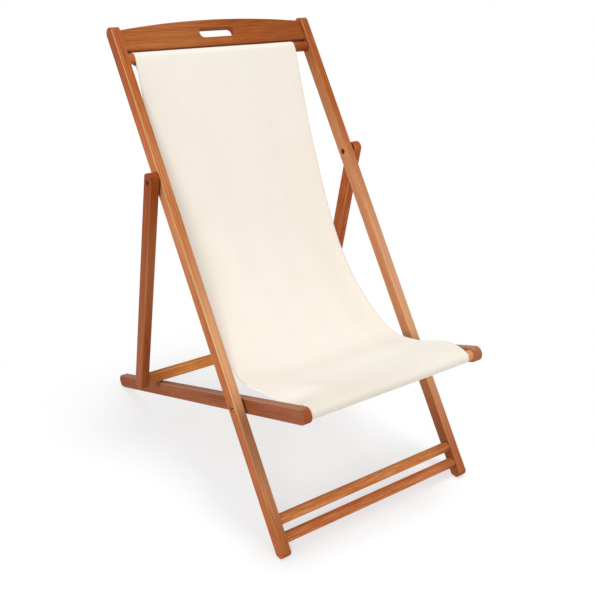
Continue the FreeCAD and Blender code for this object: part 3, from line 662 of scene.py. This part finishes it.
def slingPoint(i, x, under):
    place = slingLine[i]
    before = slingLine[max(0, i - 1)]
    after = slingLine[min(len(slingLine) - 1, i + 1)]
    face = across.cross(before - after).normalized()  # towards the sitter
    travel = slingLength * i / (len(slingLine) - 1)
    half = sling["width"] / 2
    down = min(1, max(0, (travel - hangSpan[0]) / (hangSpan[1] - hangSpan[0])))
    atHead = max(0, 1 - travel / (hangSpan[0] + sling["cornerBelow"])) ** 0.5
    corner = max(0, x / half - sling["cornerFrom"]) / (1 - sling["cornerFrom"])
    narrow = x / half * sling["drawnIn"][0] / 2 * down ** 2 + sling["drawnIn"][1] * corner * atHead
    drift = sling["shift"][0] + (sling["shift"][1] - sling["shift"][0]) * down - narrow
    lifted = face * (standForward(x, travel) - under) - seatTop * hemDrop(x, place)
    return place + across * (x + drift) + lifted


def buildSling():
    section = slingSection()
    acrossCloth = [0.0]
    for (ax, az), (bx, bz) in zip(section[:-1], section[1:]):
        acrossCloth.append(acrossCloth[-1] + math.hypot(bx - ax, bz - az))
    work = bmesh.new()
    cloth = work.loops.layers.uv.new("cloth")
    rows = [[work.verts.new(slingPoint(i, x, z)) for x, z in section] for i in range(len(slingLine))]
    step = slingLength / (len(slingLine) - 1)
    for i in range(len(rows) - 1):
        for j in range(len(section) - 1):
            quad = work.faces.new((rows[i][j], rows[i + 1][j], rows[i + 1][j + 1], rows[i][j + 1]))
            quad.smooth = True
            for loop, (u, v) in zip(quad.loops, ((j, i), (j, i + 1), (j + 1, i + 1), (j + 1, i))):
                loop[cloth].uv = (acrossCloth[u], v * step)
    mesh = bpy.data.meshes.new("canvasSling")
    work.to_mesh(mesh)
    work.free()
    piece = bpy.data.objects.new("canvasSling", mesh)
    scene.collection.objects.link(piece)
    shell = piece.modifiers.new("thickness", "SOLIDIFY")
    shell.thickness = sling["thick"]
    shell.offset = 0
    return piece


canvas = buildSling()
# a lighter band (painted highlight) and a darker stretch near the left edge (painted shade) on the canvas:
# metres down the cloth from its top end, and across it from its left edge
weave = {
    "base": linear(243, 237, 226),
    "shade": linear(236, 229, 215),
    "pitch": 0.0011,
    "slubs": [(1400, 34, 1), (34, 1400, 1)],  # thick places in the threads, both ways of the weave
    "paintedLitBand": {"colour": linear(250, 245, 235), "at": 1.04, "reach": 0.11, "least": 0.3,
                 "across": (0.06, 0.26)},
    "paintedShadeBand": {"colour": linear(224, 215, 198), "from": 1.09, "to": 1.15, "share": 0.5,
               "across": (0.14, 0.42)},
}


def canvasMaterial():
    material, wire = newMaterial("creamCanvas")
    raw = wire.make("ShaderNodeTexCoord", out="UV")
    u, v, _ = raw.parts()
    turn = 2 * math.pi / weave["pitch"]
    threads = (u * turn).sine() * (v * turn).sine()
    warp, weft = [raw.stretched(cells).noise(1, 3, 0.6) for cells in weave["slubs"]]
    slubs = warp + weft
    clouds = raw.noise(9, 3)
    shade = (slubs * 0.5).within(0.30, 0.72) * 0.6 + clouds * 0.4
    stops = [(0.1, weave["base"]), (0.9, weave["shade"])]
    colour = wire.make("ShaderNodeValToRGB", {"stops": stops}, {"Fac": shade})
    # painted highlight on a band across the cloth, then painted shade further down near its left edge
    paintedLitBand, paintedShadeBand = weave["paintedLitBand"], weave["paintedShadeBand"]
    paintedHighlight = 1 - abs(v - paintedLitBand["at"]).within(0, paintedLitBand["reach"])
    fade = paintedLitBand["least"] + u.within(*paintedLitBand["across"]) * (1 - paintedLitBand["least"])
    colour = colour.tint((*paintedLitBand["colour"], 1), paintedHighlight * fade)
    paintedSpan = v.within(paintedShadeBand["from"], paintedShadeBand["to"])
    fade = 1 - u.within(*paintedShadeBand["across"])
    colour = colour.tint((*paintedShadeBand["colour"], 1), paintedSpan * fade * paintedShadeBand["share"])
    height = threads * 0.5 + slubs * 0.6
    bump = wire.make("ShaderNodeBump", None, {"Strength": 0.22, "Distance": 0.0004, "Height": height})
    shader = wire.make("ShaderNodeBsdfPrincipled", None, {
        "Base Color": colour, "Roughness": 0.82 + threads * 0.06, "Normal": bump,
        "Specular IOR Level": 0.2, "Sheen Weight": 0.1, "Sheen Roughness": 0.5})
    close(wire, shader)
    return material


canvas.data.materials.append(canvasMaterial())
print("canvas woven")


# stitching: rows down each hem and along each pocket seam, on both faces of the cloth
stitch = {
    "sizes": {"Stitch pitch": 0.0042, "Stitch length": 0.0031, "Thread width": 0.0005, "Unevenness": 0.22},
    "fromHemEdge": 0.003,
    "fromSides": 0.003,
    "colour": linear(242, 236, 223),
    "shadow": linear(227, 219, 201),
}


def threadMaterial():
    material, wire = newMaterial("creamThread")
    raw = wire.make("ShaderNodeTexCoord", out="Object")
    twist = raw.noise(2400, 2)
    stops = [(0.3, stitch["shadow"]), (0.7, stitch["colour"])]
    colour = wire.make("ShaderNodeValToRGB", {"stops": stops}, {"Fac": twist})
    bump = wire.make("ShaderNodeBump", None, {"Strength": 0.3, "Distance": 0.0002, "Height": twist})
    shader = wire.make("ShaderNodeBsdfPrincipled", None, {
        "Base Color": colour, "Roughness": 0.7, "Normal": bump, "Specular IOR Level": 0.25})
    close(wire, shader)
    return material


def seamLines():
    # rows of points just proud of the cloth, as (step along, place across, depth under the face)
    half = sling["width"] / 2
    proud = sling["thick"] / 2
    hemRow = half - sling["hem"] + stitch["fromHemEdge"]
    step = slingLength / (len(slingLine) - 1)
    hang = [round(travel / step) for travel in hangSpan]
    seam = round((sling["pocketSeam"] + sling["seamAllowance"] / 2) / step)
    flap = round(sling["seamAllowance"] / 2 / step)
    past, clear = 4, 2  # steps on to the pockets, and short of their flaps
    onFace = range(hang[0] - past, hang[1] + past + 1)
    under = range(hang[0] + seam + clear, hang[1] - seam - clear + 1)
    rows = []
    for x in (-hemRow, hemRow):
        rows.append([(i, x, -proud) for i in onFace])
        rows.append([(i, x, sling["hemGap"] + proud) for i in under])
    reach = half - stitch["fromSides"]
    count = 90
    wide = [-reach + 2 * reach * k / count for k in range(count + 1)]
    for i in (flap, hang[0] + seam, hang[1] - seam, len(slingLine) - 1 - flap):
        rows.append([(i, x, -proud) for x in wide])
    return [[slingPoint(*point) for point in row] for row in rows]


def stitchTree(material):
    tree = bpy.data.node_groups.new("seamStitches", "GeometryNodeTree")
    tree.interface.new_socket("Seam lines", in_out="INPUT", socket_type="NodeSocketGeometry")
    for label in stitch["sizes"]:
        tree.interface.new_socket(label, in_out="INPUT", socket_type="NodeSocketFloat")
    tree.interface.new_socket("Stitches", in_out="OUTPUT", socket_type="NodeSocketGeometry")
    wire = Wire(tree)
    given = wire.make("NodeGroupInput").socket.node.outputs
    size = {socket.name: Wire(tree, socket) for socket in given if socket.name}
    lines = wire.make("GeometryNodeMeshToCurve", None, {"Mesh": size["Seam lines"]})
    spacing = {"Curve": lines, "Length": size["Stitch pitch"]}
    spots = wire.make("GeometryNodeCurveToPoints", {"mode": "LENGTH"}, spacing)
    turned = Wire(tree, spots.socket.node.outputs["Rotation"])
    bead = wire.make("GeometryNodeMeshUVSphere", None, {"Segments": 6, "Rings": 4, "Radius": 0.5})
    shape = wire.make("ShaderNodeCombineXYZ", None, {
        "X": size["Thread width"], "Y": size["Thread width"], "Z": size["Stitch length"]})
    thread = wire.make("GeometryNodeTransform", None, {"Geometry": bead, "Scale": shape})
    spread = wire.make("FunctionNodeRandomValue", {"data_type": "FLOAT"}, {"Seed": 7}, 1)
    longer = 1 + (spread - 0.5) * size["Unevenness"]
    placed = wire.make("GeometryNodeInstanceOnPoints", None, {
        "Points": spots, "Instance": thread, "Rotation": turned, "Scale": longer})
    real = wire.make("GeometryNodeRealizeInstances", None, {"Geometry": placed})
    done = wire.make("GeometryNodeSetMaterial", None, {"Geometry": real, "Material": material})
    wire.make("NodeGroupOutput", None, {"Stitches": done})
    return tree


def sewStitches():
    mesh = bpy.data.meshes.new("canvasStitches")
    points, edges = [], []
    for row in seamLines():
        edges += [(len(points) + k, len(points) + k + 1) for k in range(len(row) - 1)]
        points += row
    mesh.from_pydata(points, edges, [])
    piece = bpy.data.objects.new("canvasStitches", mesh)
    scene.collection.objects.link(piece)
    material = threadMaterial()
    tree = stitchTree(material)
    sewn = piece.modifiers.new("stitches", "NODES")
    sewn.node_group = tree
    for item in tree.interface.items_tree:
        if item.item_type == "SOCKET" and item.name in stitch["sizes"]:
            sewn[item.identifier] = stitch["sizes"][item.name]
    result = bpy.data.meshes.new_from_object(piece.evaluated_get(bpy.context.evaluated_depsgraph_get()))
    piece.modifiers.remove(sewn)
    piece.data = result
    for face in result.polygons:
        face.use_smooth = True
    return piece


stitches = sewStitches()
print("stitches sewn:", len(stitches.data.polygons), "faces")

for piece in (canvas, stitches):
    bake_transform(piece)
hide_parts("sling")
print("sling hung")
